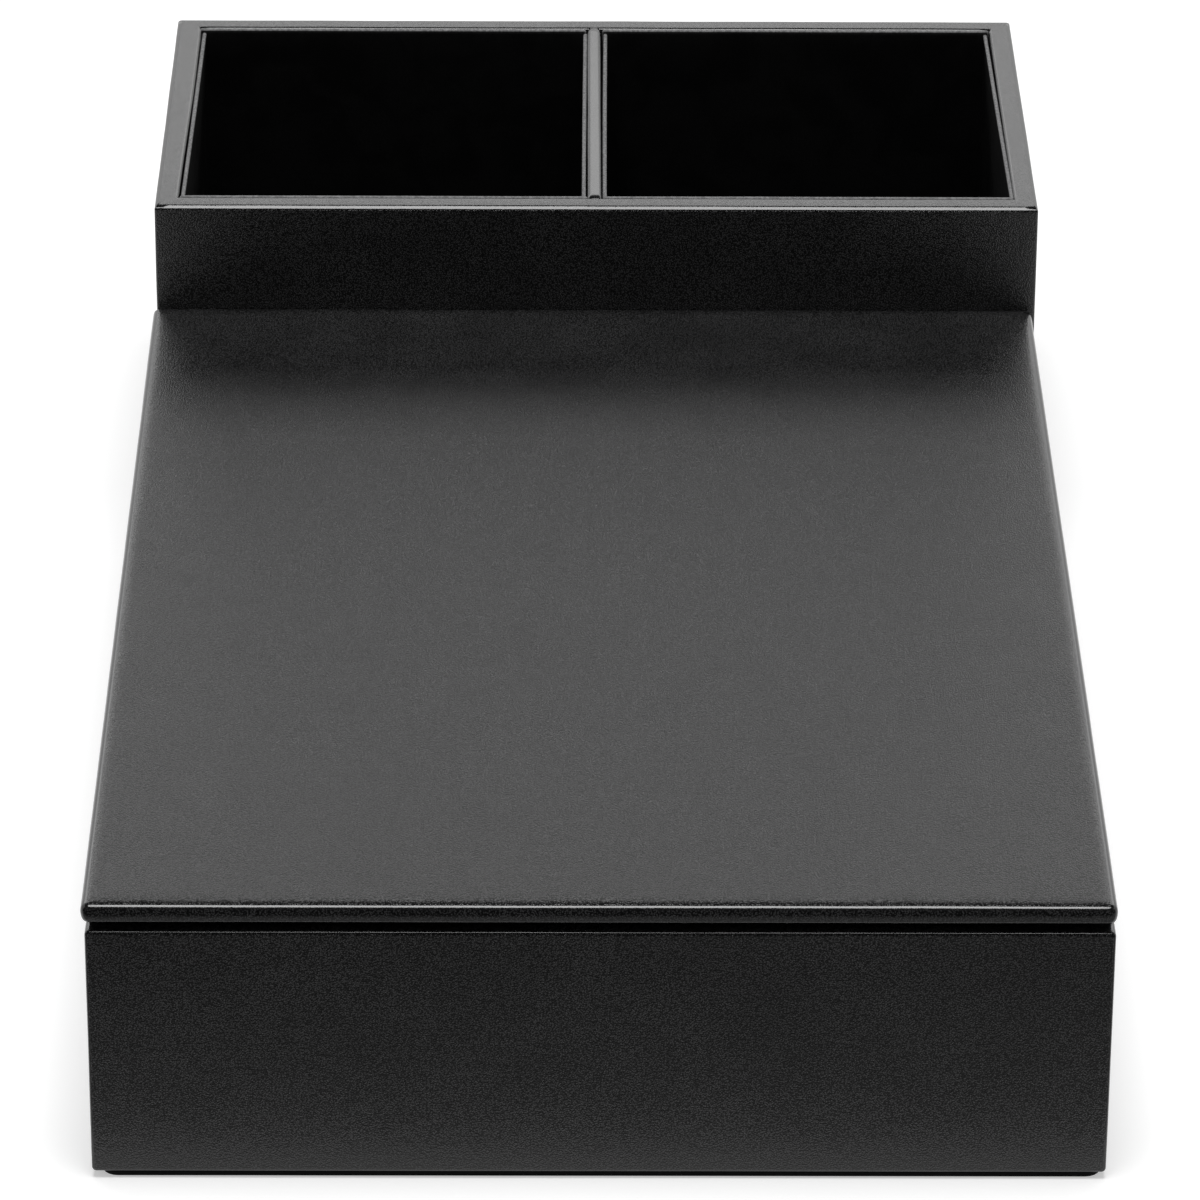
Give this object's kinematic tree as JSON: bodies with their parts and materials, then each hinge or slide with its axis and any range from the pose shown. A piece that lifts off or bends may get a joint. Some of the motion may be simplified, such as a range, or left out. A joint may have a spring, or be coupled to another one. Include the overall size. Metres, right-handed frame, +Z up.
{
  "type": "condiment organizer",
  "caption": "Leatherette-covered countertop organizer with a flat platform over a pull-out drawer and a taller box of open bins behind.",
  "frame": {"origin": "on the table, under the middle of the object's outline", "axes": "+Z up, front and drawer towards -Y, bins towards +Y, +X to the right seen from the front"},
  "size_m": [0.2554, 0.494, 0.1098],
  "materials": {
    "leatherette": "satin black, fine grain",
    "velveteen": "short black pile",
    "lining_cloth": "thin black cloth, glued flat",
    "felt": "black felt on card",
    "fibreboard": "raw fibreboard under the covers"
  },
  "bodies": {
    "carcass": {"base_plate": "felt", "bin_box_back_board": "fibreboard", "bin_box_cover": "leatherette", "bin_box_floor_board": "fibreboard", "bin_box_front_board": "fibreboard", "bin_box_left_board": "fibreboard", "bin_box_right_board": "fibreboard", "divider_board": "fibreboard", "divider_cover": "leatherette", "housing_ceiling_lining": "lining_cloth", "housing_floor_board": "fibreboard", "housing_floor_lining": "lining_cloth", "housing_left_board": "fibreboard", "housing_left_cover": "leatherette", "housing_left_lining": "lining_cloth", "housing_right_board": "fibreboard", "housing_right_cover": "leatherette", "housing_right_lining": "lining_cloth", "left_bin_back_liner": "velveteen", "left_bin_front_liner": "velveteen", "left_bin_left_liner": "velveteen", "left_bin_pad": "velveteen", "left_bin_right_liner": "velveteen", "platform_board": "fibreboard", "platform_cover": "leatherette", "right_bin_back_liner": "velveteen", "right_bin_front_liner": "velveteen", "right_bin_left_liner": "velveteen", "right_bin_pad": "velveteen", "right_bin_right_liner": "velveteen"},
    "drawer": {"drawer_back_board": "fibreboard", "drawer_back_liner": "velveteen", "drawer_box_cover": "leatherette", "drawer_face_board": "fibreboard", "drawer_face_cover": "leatherette", "drawer_floor_board": "fibreboard", "drawer_front_board": "fibreboard", "drawer_front_liner": "velveteen", "drawer_left_board": "fibreboard", "drawer_left_liner": "velveteen", "drawer_pad": "velveteen", "drawer_right_board": "fibreboard", "drawer_right_liner": "velveteen", "drawer_under_cloth": "lining_cloth"}
  },
  "joints": [
    {"name": "drawer_slide", "type": "slide", "parent": "carcass", "child": "drawer", "axis": [0, -1, 0], "range_m": [0, 0.25]}
  ]
}
